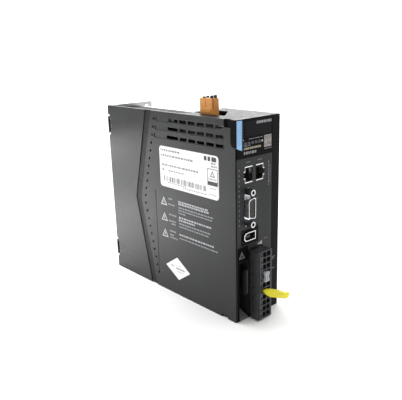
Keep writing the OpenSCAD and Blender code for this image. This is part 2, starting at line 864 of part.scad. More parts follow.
module seal_sticker() {
    color("#f2f2f0") side_plate([-0.15, 0]) polygon([[71.4, 35.2], [86.9, 24.8], [69.8, 14.6], [54.9, 24.9]]);
}

left_cover();
main_housing();
front_fascia();
terminal_bay();
upper_cap();
blue_strip();
display_window();
display_module();
display_board();
status_light_pipe();
key_mode();
key_up();
key_down();
key_shift();
key_set();
key_switches();
ethernet_shield_left();
ethernet_shield_right();
ethernet_inserts();
ethernet_contacts();
dsub_shell();
dsub_insert();
dsub_jackscrews();
encoder_shell();
encoder_insert();
io_board();
control_board();
processor_chips();
board_link_connectors();
insulator_sheet();
power_board();
power_module();
thermal_pads();
rectifier_bridge();
bus_capacitors();
precharge_relay();
input_choke();
line_fuse();
standoffs();
board_screws();
heatsink();
housing_screws();
earth_screws();
power_header();
power_header_pins();
power_plug();
clamp_springs();
terminal_bridge();
clamp_lever();
safety_header();
safety_header_pins();
safety_plug();
safety_pusher_1();
safety_pusher_2();
safety_pusher_3();
safety_pusher_4();
rating_label();
seal_sticker();
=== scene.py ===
import math
import random

import bmesh
import bpy
from mathutils import Matrix, Vector


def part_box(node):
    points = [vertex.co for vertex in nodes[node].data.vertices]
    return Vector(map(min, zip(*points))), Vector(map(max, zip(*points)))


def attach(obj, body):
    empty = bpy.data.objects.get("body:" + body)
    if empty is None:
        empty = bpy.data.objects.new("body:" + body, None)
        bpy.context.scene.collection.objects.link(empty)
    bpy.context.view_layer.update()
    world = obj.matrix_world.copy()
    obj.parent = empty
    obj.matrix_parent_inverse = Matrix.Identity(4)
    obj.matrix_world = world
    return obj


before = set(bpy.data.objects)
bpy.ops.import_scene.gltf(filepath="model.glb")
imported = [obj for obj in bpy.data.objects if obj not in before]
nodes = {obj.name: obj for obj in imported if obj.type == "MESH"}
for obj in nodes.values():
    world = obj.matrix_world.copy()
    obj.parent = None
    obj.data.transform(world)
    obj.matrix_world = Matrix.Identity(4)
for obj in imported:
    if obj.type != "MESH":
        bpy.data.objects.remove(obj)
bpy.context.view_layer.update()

MM = 0.001
COVER_LOW, COVER_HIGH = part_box("left_cover")
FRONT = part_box("upper_cap")[0].y  # the foremost plane of the shell
HEIGHT = COVER_HIGH.z / MM
INK = 0.04  # thickness of a printed mark, in mm


def at(x, y, z):
    """A place given in mm from the left side, the front face and the underside."""
    return Vector((COVER_LOW.x + x * MM, FRONT + y * MM, z * MM))


def front_face(node):
    """How far the front of a node is behind the shell's front, in mm."""
    return (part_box(node)[0].y - FRONT) / MM


# ---------------------------------------------------------------- materials


class Shader:
    """A Principled material and short ways to add nodes to it."""

    def __init__(self, name, color, rough, metal=0.0, **values):
        self.material = bpy.data.materials.new(name)
        self.material.use_nodes = True
        self.tree = self.material.node_tree
        self.bsdf = self.tree.nodes["Principled BSDF"]
        self.bsdf.inputs["Base Color"].default_value = (*color, 1)
        self.bsdf.inputs["Roughness"].default_value = rough
        self.bsdf.inputs["Metallic"].default_value = metal
        for key, value in values.items():
            self.bsdf.inputs[key.replace("_", " ")].default_value = value
        self.color, self.rough = color, rough
        self.place = self.add("ShaderNodeTexCoord").outputs["Object"]
        self.tinted = None
        self.normal = None

    def add(self, kind, **settings):
        node = self.tree.nodes.new(kind)
        for key, value in settings.items():
            setattr(node, key, value)
        return node

    def link(self, out, into):
        self.tree.links.new(out, into)

    def noise(self, size_mm, detail=3.0, rough=0.55, stretch=(1, 1, 1)):
        """Noise whose features are about size_mm across."""
        mapping = self.add("ShaderNodeMapping")
        mapping.inputs["Scale"].default_value = stretch
        self.link(self.place, mapping.inputs["Vector"])
        node = self.add("ShaderNodeTexNoise")
        node.inputs["Scale"].default_value = 1 / (size_mm * MM)
        node.inputs["Detail"].default_value = detail
        node.inputs["Roughness"].default_value = rough
        self.link(mapping.outputs["Vector"], node.inputs["Vector"])
        return node.outputs["Fac"]

    def spread(self, value, low, high, start=0.3, end=0.7):
        """The value's middle stretched to run from low to high."""
        node = self.add("ShaderNodeMapRange")
        for key, number in (("From Min", start), ("From Max", end), ("To Min", low), ("To Max", high)):
            node.inputs[key].default_value = number
        self.link(value, node.inputs["Value"])
        return node.outputs["Result"]

    def mix(self, fac, a, b):
        node = self.add("ShaderNodeMix", data_type="RGBA")
        self.link(fac, node.inputs["Factor"])
        for socket, color in (("A", a), ("B", b)):
            target = [i for i in node.inputs if i.name == socket and i.type == "RGBA"][0]
            if isinstance(color, tuple):
                target.default_value = (*color, 1)
            else:
                self.link(color, target)
        return [o for o in node.outputs if o.type == "RGBA"][0]

    def round_edges(self, radius_mm):
        """Shades sharp edges as if they had this radius."""
        node = self.add("ShaderNodeBevel", samples=4)
        node.inputs["Radius"].default_value = radius_mm * MM
        self.normal = node.outputs["Normal"]
        return self

    def bump(self, height, depth_mm, strength=1.0):
        node = self.add("ShaderNodeBump")
        node.inputs["Strength"].default_value = strength
        node.inputs["Distance"].default_value = depth_mm * MM
        self.link(height, node.inputs["Height"])
        if self.normal:
            self.link(self.normal, node.inputs["Normal"])
        self.normal = node.outputs["Normal"]
        return self

    def painted_edge_highlight(self, color, radius_mm, gain=3.0):
        """Mixes the color in where the surface turns sharply, as a painted highlight along the edges."""
        bevel = self.add("ShaderNodeBevel", samples=4)
        bevel.inputs["Radius"].default_value = radius_mm * MM
        geometry = self.add("ShaderNodeNewGeometry")
        dot = self.add("ShaderNodeVectorMath", operation="DOT_PRODUCT")
        self.link(bevel.outputs["Normal"], dot.inputs[0])
        self.link(geometry.outputs["Normal"], dot.inputs[1])
        turn = self.add("ShaderNodeMath", operation="SUBTRACT")
        turn.inputs[0].default_value = 1.0
        self.link(dot.outputs["Value"], turn.inputs[1])
        gained = self.add("ShaderNodeMath", operation="MULTIPLY", use_clamp=True)
        gained.inputs[1].default_value = gain
        self.link(turn.outputs[0], gained.inputs[0])
        self.tinted = self.mix(gained.outputs[0], self.tinted, color)
        return self

    def tint(self, value, amount):
        """Lets the colour drift by this share of itself."""
        low = tuple(c * (1 - amount) for c in self.color)
        high = tuple(min(1, c * (1 + amount)) for c in self.color)
        self.tinted = self.mix(value, low, high)
        return self

    def gloss(self, value, amount):
        """Lets the roughness drift by this much."""
        drifting = self.spread(value, self.rough - amount, self.rough + amount)
        self.link(drifting, self.bsdf.inputs["Roughness"])
        return self

    def done(self):
        if self.tinted:
            self.link(self.tinted, self.bsdf.inputs["Base Color"])
        if self.normal:
            self.link(self.normal, self.bsdf.inputs["Normal"])
        return self.material


def moulded(name, color, rough=0.5, grain=0.35, depth=0.012, edge=0.2, **values):
    """Moulded plastic with a spark-eroded grain, faint flow marks, softened edges and a painted highlight
    along its sharp edges.
    """
    s = Shader(name, color, rough, **values)
    flow = s.noise(26, 2)
    s.tint(s.spread(flow, 0, 1), 0.10)
    # a paler tone along sharp edges: painted highlight
    s.painted_edge_highlight(tuple(min(1, c * 1.9 + 0.01) for c in color), edge * 1.3, 1.3)
    s.gloss(s.noise(3.5, 4), 0.06)
    return s.round_edges(edge).bump(s.noise(grain, 2), depth, 0.5).done()


def metal(name, color, rough=0.3, scratch=(1, 1, 14), edge=0.12, depth=0.006):
    """Plated or drawn metal with fine lines along one way."""
    s = Shader(name, color, rough, 1.0)
    s.tint(s.spread(s.noise(9, 3), 0, 1), 0.07)
    s.gloss(s.noise(0.6, 3, stretch=scratch), 0.09)
    return s.round_edges(edge).bump(s.noise(0.35, 2, stretch=scratch), depth, 0.5).done()


def paint(name, color, rough=0.45, **values):
    """Printing ink or film, with the slight unevenness of a thin layer."""
    s = Shader(name, color, rough, **values)
    s.tint(s.spread(s.noise(1.4, 3), 0, 1), 0.07)
    return s.bump(s.noise(0.18, 2), 0.004, 0.4).done()


def laminate(name):
    """Circuit board: dark resist over tracks that show as faint paler lines."""
    s = Shader(name, (0.004, 0.012, 0.008), 0.4)
    bricks = s.add("ShaderNodeTexBrick", offset=0.37, squash=0.6)
    for key, number in (("Scale", 240.0), ("Mortar Size", 0.06), ("Row Height", 0.35), ("Brick Width", 1.6)):
        bricks.inputs[key].default_value = number
    for key, color in (("Color1", (0.004, 0.012, 0.008, 1)), ("Color2", (0.007, 0.02, 0.012, 1)),
                       ("Mortar", (0.003, 0.008, 0.005, 1))):
        bricks.inputs[key].default_value = color
    turn = s.add("ShaderNodeMapping")
    turn.inputs["Rotation"].default_value = (0, math.pi / 2, 0)
    s.link(s.place, turn.inputs["Vector"])
    s.link(turn.outputs["Vector"], bricks.inputs["Vector"])
    s.tinted = bricks.outputs["Color"]
    s.gloss(s.noise(2.0, 3), 0.05)
    return s.bump(bricks.outputs["Fac"], 0.03, 0.5).done()


def glassy(name, color, rough, **values):
    """Clear or smoked plastic, smooth but not quite flat."""
    s = Shader(name, color, rough, **values)
    s.gloss(s.noise(5, 3), 0.02)
    return s.round_edges(0.1).bump(s.noise(12, 1), 0.004, 0.3).done()


# Moulded plastics: name, colour, roughness, then grain size, grain depth and edge radius in mm
M = {
    "cover": moulded("cover_plastic", (0.0130, 0.0138, 0.0147), 0.44, 0.42, 0.016, 0.25,
                     Specular_IOR_Level=0.36),
    "housing": moulded("housing_plastic", (0.0075, 0.0075, 0.0092), 0.40, 0.42, 0.016, 0.25,
                       Specular_IOR_Level=0.05),
    "fascia": moulded("fascia_plastic", (0.017, 0.018, 0.019), 0.5, 0.35, 0.012, 0.2,
                      Specular_IOR_Level=0.3),
    "bay": moulded("bay_plastic", (0.006, 0.006, 0.007), 0.6, 0.3, 0.01, 0.15, Specular_IOR_Level=0.2),
    # a pale copy of the bay plastic: painted light for the bay's lit floor and rail edge
    "bay_lit": moulded("bay_painted_light_plastic", (0.13, 0.132, 0.138), 0.5, 0.3, 0.01, 0.1),
    "inlay": moulded("chevron_rubber", (0.010, 0.010, 0.011), 0.6, 0.5, 0.02, 0.1, Specular_IOR_Level=0.25),
    "cap": moulded("cap_plastic", (0.003, 0.0027, 0.0034), 0.34, 0.5, 0.004, 0.22,
                   Specular_IOR_Level=0.05),
    "blue": moulded("blue_plastic", (0.27, 0.50, 0.78), 0.42, 0.4, 0.006, 0.1),
    "key": moulded("key_plastic", (0.045, 0.045, 0.05), 0.5, 0.25, 0.006, 0.2),
    "connector": moulded("connector_plastic", (0.012, 0.012, 0.013), 0.5, 0.3, 0.01, 0.12),
    "plug": moulded("plug_plastic", (0.020, 0.021, 0.024), 0.42, 0.35, 0.010, 0.18),
    "chip": moulded("chip_plastic", (0.012, 0.012, 0.013), 0.55, 0.2, 0.01, 0.1),
    "link": moulded("link_plastic", (0.62, 0.58, 0.44), 0.5, 0.3, 0.008, 0.2),
    "relay": moulded("relay_plastic", (0.02, 0.02, 0.022), 0.45, 0.4, 0.008, 0.2),
    "sheet": paint("insulator_film", (0.62, 0.55, 0.34), 0.5),
    "pad": moulded("thermal_pad", (0.25, 0.27, 0.31), 0.8, 0.5, 0.02, 0.1),
    "bridge": moulded("bridge_plastic", (0.36, 0.37, 0.39), 0.45, 0.3, 0.006, 0.25),
    "lever": moulded("lever_plastic", (0.86, 0.76, 0.03), 0.38, 0.5, 0.006, 0.3, Subsurface_Weight=0.08,
                     Subsurface_Scale=0.002),
    "orange": moulded("safety_plastic", (0.80, 0.34, 0.078), 0.42, 0.4, 0.008, 0.25),
    "pusher": moulded("pusher_plastic", (0.012, 0.012, 0.013), 0.4, 0.3, 0.006, 0.2),
    "sleeve": moulded("capacitor_sleeve", (0.010, 0.016, 0.035), 0.25, 0.8, 0.004, 0.3, Coat_Weight=0.4),
    "tin": metal("connector_shell", (0.80, 0.81, 0.83), 0.2, (1, 1, 8)),
    "socket": metal("socket_metal", (0.30, 0.25, 0.16), 0.4, (1, 1, 1)),
    "gold": metal("contact_metal", (0.90, 0.66, 0.28), 0.22, (6, 6, 1)),
    "steel": metal("screw_steel", (0.66, 0.67, 0.68), 0.28, (3, 3, 3)),
    "spring": metal("spring_steel", (0.62, 0.63, 0.65), 0.25, (8, 1, 1)),
    # jackscrew steel darkened as painted shade; the bright rings on their fronts are painted light
    "painted_shade_steel": metal("jackscrew_steel", (0.11, 0.11, 0.115), 0.38, (3, 3, 3)),
    "brass": metal("standoff_brass", (0.75, 0.56, 0.24), 0.3, (10, 1, 1)),
    "aluminium": metal("heatsink_aluminium", (0.60, 0.605, 0.62), 0.42, (1, 1, 0.06), 0.2, 0.010),
    "copper": metal("copper_wire", (0.75, 0.33, 0.14), 0.35, (1, 1, 1)),
    "board": laminate("board_laminate"),
    "label": paint("label_film", (0.80, 0.80, 0.79), 0.42),
    "ink_white": paint("ink_white", (0.40, 0.41, 0.43), 0.5),
    "ink_grey": paint("ink_grey", (0.22, 0.225, 0.235), 0.5),
    "ink_pale": paint("ink_pale", (0.25, 0.26, 0.28), 0.5),
    "ink_gold": paint("ink_gold", (0.34, 0.30, 0.20), 0.5),
    # black ink: painted shade over deep gaps and rims, and the real dark seam on the orange plug
    "ink_shade_and_seam": paint("ink_shade_and_seam", (0.003, 0.003, 0.003), 0.6, Specular_IOR_Level=0.05),
    "ink_black": paint("ink_black", (0.03, 0.03, 0.032), 0.5),
    "ink_dim": paint("ink_dim", (0.15, 0.155, 0.16), 0.5),
    "ink_label": paint("ink_label", (0.20, 0.20, 0.205), 0.5),
    "ink_teal": paint("ink_teal", (0.008, 0.035, 0.070), 0.45),
    "ink_blue": paint("ink_blue", (0.10, 0.26, 0.52), 0.45),
    "ink_patch": paint("ink_patch", (0.33, 0.31, 0.29), 0.55),
    "ink_patch_dark": paint("ink_patch_dark", (0.17, 0.155, 0.145), 0.55),
    "window": glassy("display_window", (0.005, 0.0045, 0.006), 0.14, Specular_IOR_Level=0.08),
    "pipe": glassy("light_pipe", (0.72, 0.80, 0.74), 0.25, Transmission_Weight=0.4),
}


FINISH = {
    "left_cover": "cover", "main_housing": "housing", "front_fascia": "fascia", "terminal_bay": "bay",
    "upper_cap": "cap", "blue_strip": "blue", "display_window": "window", "display_module": "chip",
    "display_board": "board", "status_light_pipe": "pipe", "key_switches": "connector",
    "ethernet_shield_left": "tin", "ethernet_shield_right": "tin", "ethernet_inserts": "connector",
    "ethernet_contacts": "socket", "dsub_shell": "tin", "dsub_insert": "connector",
    "dsub_jackscrews": "painted_shade_steel", "encoder_shell": "tin", "encoder_insert": "connector",
    "io_board": "board", "control_board": "board", "processor_chips": "chip",
    "board_link_connectors": "link", "insulator_sheet": "sheet", "power_board": "board",
    "power_module": "chip", "thermal_pads": "pad", "rectifier_bridge": "chip",
    "bus_capacitors": "sleeve", "precharge_relay": "relay", "input_choke": "copper",
    "line_fuse": "link", "standoffs": "brass", "board_screws": "steel", "heatsink": "aluminium",
    "housing_screws": "steel", "earth_screws": "steel", "power_header": "connector",
    "power_header_pins": "tin", "power_plug": "plug", "clamp_springs": "spring",
    "terminal_bridge": "bridge", "clamp_lever": "lever", "safety_header": "connector",
    "safety_header_pins": "tin", "safety_plug": "orange", "rating_label": "label", "seal_sticker": "label",
}
for key in ("mode", "up", "down", "shift", "set"):
    FINISH["key_" + key] = "key"
for number in range(1, 5):
    FINISH["safety_pusher_%d" % number] = "pusher"
for name, finish in FINISH.items():
    nodes[name].data.materials.clear()
    nodes[name].data.materials.append(M[finish])

# ---------------------------------------------------------------- shapes

AXES = {"x": (1, 2, 0), "y": (0, 2, 1), "z": (0, 1, 2)}


def prism(bm, axis, outline, low, high):
    """An outline drawn across an axis, in mm, made solid from low to high along it."""
    u, v, w = AXES[axis]
    rings = []
    for level in (low, high):
        ring = []
        for point in outline:
            place = [0.0, 0.0, 0.0]
            place[u], place[v], place[w] = point[0], point[1], level
            ring.append(bm.verts.new(at(*place)))
        rings.append(ring)
    bm.faces.new(rings[0][::-1])
    bm.faces.new(rings[1])
    count = len(outline)
    for k in range(count):
        following = (k + 1) % count
        bm.faces.new((rings[0][k], rings[0][following], rings[1][following], rings[1][k]))


def rectangle(u, v):
    return [(u[0], v[0]), (u[1], v[0]), (u[1], v[1]), (u[0], v[1])]


def rounded(u, v, r, steps=5):
    points = []
    for cu, cv, start in ((u[1] - r, v[0] + r, 270), (u[1] - r, v[1] - r, 0),
                          (u[0] + r, v[1] - r, 90), (u[0] + r, v[0] + r, 180)):
        for k in range(steps + 1):
            angle = math.radians(start + 90 * k / steps)
            points.append((cu + r * math.cos(angle), cv + r * math.sin(angle)))
    return points


def disc(u, v, r, steps=20):
    return [(u + r * math.cos(2 * math.pi * k / steps), v + r * math.sin(2 * math.pi * k / steps))
            for k in range(steps)]


def make(name, build, body, finish, bevel=0.0):
    """A closed mesh piece from a function that fills a bmesh."""
    bm = bmesh.new()
    build(bm)
    bmesh.ops.recalc_face_normals(bm, faces=bm.faces)
    mesh = bpy.data.meshes.new(name)
    bm.to_mesh(mesh)
    bm.free()
    piece = bpy.data.objects.new(name, mesh)
    bpy.context.scene.collection.objects.link(piece)
    mesh.materials.append(M[finish])
    if bevel:
        modifier = piece.modifiers.new("bevel", "BEVEL")
        modifier.width = bevel * MM
        modifier.segments = 2
        modifier.limit_method = "ANGLE"
    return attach(piece, body)


def prints(name, axis, surface, outlines, finish, body="drive_body"):
    """Marks printed on a flat surface that faces the low end of its axis."""
    def layer(bm):
        for outline in outlines:
            prism(bm, axis, outline, surface - INK, surface)
    return make(name, layer, body, finish)


def words(u, v, height, rng, longest=3.6, gap=0.9, fill=0.93):
    """Greeked text: bars the length of words along u, from u[0] to u[1], with their feet at v."""
    marks, place = [], u[0]
    step = 1 if u[1] > u[0] else -1
    while abs(place - u[0]) < abs(u[1] - u[0]) * fill:
        size = min(rng.uniform(0.35, 1.0) * longest, abs(u[1] - place))
        if size > 0.25:
            marks.append(rectangle(sorted((place, place + step * size)), (v, v + height)))
        place += step * (size + gap)
    return marks


# ---------------------------------------------------------------- printing on the side

SIDE_FACE = 0.0  # the outer face of the left cover
LABEL_FACE = (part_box("rating_label")[0].x - COVER_LOW.x) / MM
CHEVRON_Z, CHEVRON_Y, CHEVRON_W = 80.0, 119.0, 8.0
CHEVRON_LEAN = {"up": 0.25, "down": 0.225}


def chevron_front(z):
    """Distance of the chevron groove's front edge behind the front face, at height z."""
    if z > CHEVRON_Z:
        return CHEVRON_Y - (z - CHEVRON_Z) * CHEVRON_LEAN["up"]
    return CHEVRON_Y - (CHEVRON_Z - z) * CHEVRON_LEAN["down"]


def chevron_inlay():
    """A dark strip along the floor of the chevron groove."""
    gap, end = 0.15, 0.4
    levels = (end, CHEVRON_Z, HEIGHT - end)
    near = [(chevron_front(z) + gap, z) for z in levels]
    far = [(chevron_front(z) + CHEVRON_W - gap, z) for z in reversed(levels)]
    make("chevron_inlay", lambda bm: prism(bm, "x", near + far, 0.5, 0.88), "drive_body",
         "inlay", bevel=0.12)


def frame_outline(outer, thick):
    """Bars round the edge of a rectangle given as (u, v) spans."""
    (u0, u1), (v0, v1) = outer
    return [rectangle((u0, u1), (v0, v0 + thick)), rectangle((u0, u1), (v1 - thick, v1)),
            rectangle((u0, u0 + thick), (v0 + thick, v1 - thick)),
            rectangle((u1 - thick, u1), (v0 + thick, v1 - thick))]


def triangle_outline(u, foot, width, height, thick):
    """An upright triangle drawn as three mitred bars that meet along their corners."""
    outer = [(u - width / 2, foot), (u + width / 2, foot), (u, foot + height)]
    centre = (u, foot + height / 3)
    scale = 1 - thick / (height / 3)
    inner = [(centre[0] + (p[0] - centre[0]) * scale, centre[1] + (p[1] - centre[1]) * scale) for p in outer]
    return [[outer[k], outer[(k + 1) % 3], inner[(k + 1) % 3], inner[k]] for k in range(3)]


def label_printing():
    """The rating label: rows of greeked text, bars that code nothing, plain badges and a plain frame."""
    rng = random.Random(4)
    rows = []  # each line: height above the underside, its ends behind the front, height of its letters
    for z, y, height in ((127.6, (87.6, 62), 1.5), (123.2, (87.4, 46), 1.5), (115.2, (86.6, 40), 1.4),
                         (110.9, (86.4, 82.5), 1.5), (111.0, (78, 57), 1.1), (100.7, (80, 56), 0.8),
                         (99.2, (60, 30), 0.7), (100.2, (29, 21), 0.6), (124.6, (26, 21), 1.2),
                         (122.3, (26, 20), 1.2), (105.2, (28, 21), 0.5)):
        rows += words(y, z, height, rng, longest=3.2, gap=0.8)
    prints("label_text", "x", LABEL_FACE, rows, "ink_label")
    foot, y, last = 102.0, 84.6, 33.5
    bars = []
    while y > last:
        wide = rng.choice((0.6, 0.9, 1.3, 1.8))
        bars.append(rectangle((y - wide, y), (foot, foot + rng.uniform(4.0, 4.6))))
        y -= wide + rng.choice((0.5, 0.7, 1.0, 1.5))
    prints("label_bars", "x", LABEL_FACE, bars, "ink_label")
    badges = ((31.0, 3.0), (27.0, 2.8), (20.4, 5.2))
    marks = [rounded((y, y + wide), (126.7, 130.2), 0.6) for y, wide in badges]
    marks += frame_outline(((19.0, 30.4), (110.6, 121.0)), 0.45)
    marks += triangle_outline(24.8, 114.6, 5.2, 4.8, 0.65)
    marks += [rectangle((20.6, 29.0), (112.6, 113.1))]
    prints("label_marks", "x", LABEL_FACE, marks, "ink_black")
    prints("label_black_bar", "x", LABEL_FACE - INK, [rectangle((19.0, 30.4), (107.9, 110.9))],
           "ink_black")


def side_notices():
    """Three plain triangles beside blocks of greeked text on the cover."""
    rng = random.Random(11)
    marks = []
    for foot in (80.2, 65.9, 51.0):
        marks += triangle_outline(86.3, foot, 8.6, 7.6, 0.95)
        marks += [rectangle((85.9, 86.7), (foot + 1.9, foot + 4.4))]
    prints("notice_triangles", "x", SIDE_FACE, marks, "ink_white")
    titles = []
    for z, y in ((86.2, (80, 74.5)), (81.3, (80.5, 71.5)), (72.2, (80, 70.5)), (66.6, (80.4, 71)),
                 (64.2, (77, 72)), (57.5, (80, 71)), (54.0, (80, 74.6)), (51.6, (79.6, 69))):
        titles += words(y, z, 1.3, rng, longest=3.0, gap=0.7)
    prints("notice_titles", "x", SIDE_FACE, titles, "ink_grey")
    bold, fine = [], []
    for z, end, strong in ((86.0, 30, 1), (84.0, 30, 1), (81.0, 23, 0), (78.6, 23, 0), (76.2, 58, 0),
                           (72.2, 26, 1), (69.8, 47, 1), (67.0, 27, 0), (64.3, 29, 0),
                           (56.9, 22.4, 1), (53.8, 19.4, 0)):
        height = 1.35 if strong else 1.0
        (bold if strong else fine).extend(words((67, end), z, height, rng, longest=3.4, gap=0.75))
    prints("notice_headings", "x", SIDE_FACE, bold, "ink_white")
    prints("notice_text", "x", SIDE_FACE, fine, "ink_pale")


def seal_printing():
    rng = random.Random(5)
    rows = []
    for z, y, height in ((25.6, (79.5, 76), 1.3), (24.4, (73, 60.5), 1.3), (22.3, (72, 63.5), 0.5),
                         (27.4, (71, 66), 0.5)):
        rows += words(y, z, height, rng, longest=2.4, gap=0.5)
    prints("seal_text", "x", LABEL_FACE, rows, "ink_label")


# ---------------------------------------------------------------- printing on the front

CAP_FACE = front_face("upper_cap")
FASCIA_FACE = front_face("front_fascia")
STRIP_FACE = front_face("main_housing")
WINDOW_FACE = front_face("display_window")
BLUE_FACE = front_face("blue_strip")
TERMINALS, TERMINAL_PITCH, TOP_TERMINAL_TEXT = 11, 5.08, 54.6
ENCODER_RECESS = 0.8  # depth of the shallow recess round the feedback socket


def cap_printing():
    """Greeked text, dots and a teal edge on the black cap, and blue marks on its blue strip."""
    rng = random.Random(21)
    rows = words((22.0, 38.6), 155.2, 2.0, rng, longest=3.0, gap=0.55, fill=1)
    prints("window_text", "y", WINDOW_FACE, rows, "ink_pale")
    rows = words((13.7, 29), 144.6, 0.6, rng, 2.2, 0.6) + words((8.2, 16), 139.9, 0.5, rng, 1.6, 0.5)
    rows += words((31.0, 39.4), 135.0, 0.5, rng, 2.0, 0.5)
    prints("cap_fine_text", "y", CAP_FACE, rows, "ink_grey")
    rows = words((8.6, 27.2), 137.4, 1.5, rng, 2.4, 0.45)
    prints("cap_gold_text", "y", CAP_FACE, rows, "ink_gold")
    rows = words((8.3, 23.2), 133.9, 2.0, rng, 2.8, 0.7)
    prints("cap_bold_text", "y", CAP_FACE, rows, "ink_grey")
    dots = [disc(8.0, 144.6, 0.42), disc(8.3, 141.2, 0.3), disc(10.4, 140.2, 0.42)]
    prints("cap_dots", "y", CAP_FACE, dots, "ink_white")
    teal = [(6.35, 137.3), (7.5, 136.7), (7.5, 159.2), (6.35, 159.2)]
    prints("cap_teal_edge", "y", CAP_FACE, [teal], "ink_teal")
    marks, count = [], 26
    columns, column_pitch, left, low, high = 3, 1.35, 1.6, 141.0, 158.0
    for k in range(count):
        u = left + column_pitch * (k % columns) + rng.uniform(-0.2, 0.2)
        v = low + (high - low) * k / (count - 1)
        marks.append(rectangle((u, u + rng.uniform(0.5, 1.1)), (v, v + rng.uniform(0.3, 0.55))))
    prints("strip_marks", "y", BLUE_FACE, marks, "ink_blue")


def block_patch():
    """A square of scattered blocks that says nothing."""
    rng = random.Random(33)
    u0, v0, size, count, margin = 30.4, 136.6, 8.4, 14, 0.3
    cell, gap, share = size / count, 0.02, 0.42
    ground = rectangle((u0, u0 + size), (v0, v0 + size + 2 * margin))
    prints("patch_ground", "y", CAP_FACE, [ground], "ink_patch")
    blocks = []
    for row in range(count):
        for column in range(count):
            if rng.random() < share:
                u, v = u0 + column * cell, v0 + margin + row * cell
                blocks.append(rectangle((u + gap, u + cell - gap), (v + gap, v + cell - gap)))
    prints("patch_blocks", "y", CAP_FACE - INK, blocks, "ink_patch_dark")


def upright_words(u, v, width, rng, longest=3.0, gap=0.8):
    """Greeked text turned to run up the face, from v[0] to v[1]."""
    return [[(b, a) for a, b in mark] for mark in words(v, u, width, rng, longest, gap)]


def fascia_printing():
    """Greeked text round the connectors, two plain triangles, and black films of painted shade over the
    deeper parts.
    """
    rng = random.Random(8)
    rows = upright_words(2.9, (80, 127), 0.75, rng, longest=2.2, gap=2.4)
    rows += upright_words(35.6, (106, 127), 0.8, rng) + upright_words(37.4, (108, 122), 0.6, rng)
    rows += words((10.5, 15.5), 127.6, 0.7, rng, 1.6, 0.4) + words((23.6, 28.6), 127.6, 0.7, rng, 1.6, 0.4)
    rows += words((19, 24), 98, 0.7, rng, 1.6, 0.4)
    for k in range(TERMINALS):
        rows += words((31.0, 33.6), TOP_TERMINAL_TEXT - TERMINAL_PITCH * k, 0.9, rng, 1.4, 0.3)
    rows += words((31.2, 36), 63.0, 0.7, rng, 1.6, 0.4)
    prints("fascia_text", "y", FASCIA_FACE, rows, "ink_dim")
    live = [(22.9, 60.6), (29.0, 59.2), (29.0, 62.6)]
    prints("live_triangle", "y", FASCIA_FACE, [live], "ink_white")
    # black films of painted shade where the bay beside the plug and its left wall lie in shadow
    shade_films = [rectangle((1.1, 13.0), (50.3, 62.4)), rectangle((1.1, 3.1), (0.4, 50.2))]
    prints("earth_painted_shade", "y", FASCIA_FACE, shade_films, "ink_shade_and_seam")
    # a black frame of painted shade in the dark gap round the feedback socket
    surround = frame_outline(((6.1, 23.6), (63.6, 75.3)), 1.2)
    prints("encoder_gap_painted_shade", "y", FASCIA_FACE + ENCODER_RECESS, surround, "ink_shade_and_seam")
    marks = triangle_outline(5.9, 53.2, 6.6, 5.9, 0.8) + [rectangle((5.6, 6.2), (54.6, 56.6))]
    prints("earth_triangle", "y", FASCIA_FACE - INK, marks, "ink_dim")
    strip = []
    for v, size in ((44, 3.6), (42.4, 2.4), (34, 3.2), (12, 3.8), (10.6, 2.6)):
        strip += words((41.6, 41.6 + size), v, 0.8, rng, 1.8, 0.4)
    prints("strip_text", "y", STRIP_FACE, strip, "ink_dim")


def bay_painted_light_pieces():
    """Pale pieces that paint light inside the terminal bay: on its sloping floor and the edge of its lock
    rail, where these face the light.
    """
    slope = [(0.0, 0.3), (0.08, 0.3), (0.08, 1.6), (14.6, 7.38), (14.6, 7.6), (0.0, 1.8)]
    rail = [(13.5, 21.0), (14.55, 20.0), (14.55, 41.2), (13.5, 39.0)]
    make("bay_floor_painted_light", lambda bm: prism(bm, "x", slope, 3.7, 12.9), "drive_body",
         "bay_lit")
    make("lock_rail_edge", lambda bm: prism(bm, "y", rail, 1.9, 1.99), "drive_body",
         "bay_lit")


def safety_plug_seam():
    """The dark parting line between the orange plug's two rows of clamps."""
    face, seam = front_face("safety_plug"), rectangle((16.0, 16.45), (163.8, 171.2))
    prints("safety_seam", "y", face, [seam], "ink_shade_and_seam", "safety_plug")


def jack_rims():
    """The network jacks' side rims, blackened with painted shade so that only their top and bottom shine."""
    mirror = 39.1  # twice the middle between the jacks, which face away from each other
    rims = []
    for low, high, z in ((17.15, 17.62, (113.1, 123.8)), (8.25, 8.75, (116.4, 120.4))):
        rims += [rectangle((low, high), z), rectangle((mirror - high, mirror - low), z)]
    # black strips of painted shade on the shields' side rims
    prints("jack_rims", "y", 0, rims, "ink_shade_and_seam")


# ---------------------------------------------------------------- contacts and small hardware


def ring_tube(bm, u, v, outer, inner, low, high, steps=14):
    """A short tube along y, between the radii outer and inner."""
    rings = [[bm.verts.new(at(x, level, z)) for x, z in disc(u, v, r, steps)]
             for r in (outer, inner) for level in (low, high)]
    outer_low, outer_high, inner_low, inner_high = rings
    for k in range(steps):
        m = (k + 1) % steps
        bm.faces.new((outer_low[k], outer_low[m], outer_high[m], outer_high[k]))
        bm.faces.new((inner_low[m], inner_low[k], inner_high[k], inner_high[m]))
        bm.faces.new((outer_high[k], outer_high[m], inner_high[m], inner_high[k]))
        bm.faces.new((outer_low[m], outer_low[k], inner_low[k], inner_low[m]))


DSUB_X, DSUB_Z = 12.8, 92.9
DSUB_SCREW = 12.5  # from the D-sub's middle to each jackscrew
DSUB_ROWS = ((-1.98, -0.57), (0, 0), (1.98, 0.57))  # each row of sockets, off the middle and up
DSUB_PITCH = 2.29


# bright steel rings on the jackscrews' fronts: painted light against their shaded sides
def jackscrew_painted_lit_faces(bm):
    for side in (-DSUB_SCREW, DSUB_SCREW):
        ring_tube(bm, DSUB_X, DSUB_Z + side, 2.4, 1.45, -5.44, -5.3, 24)


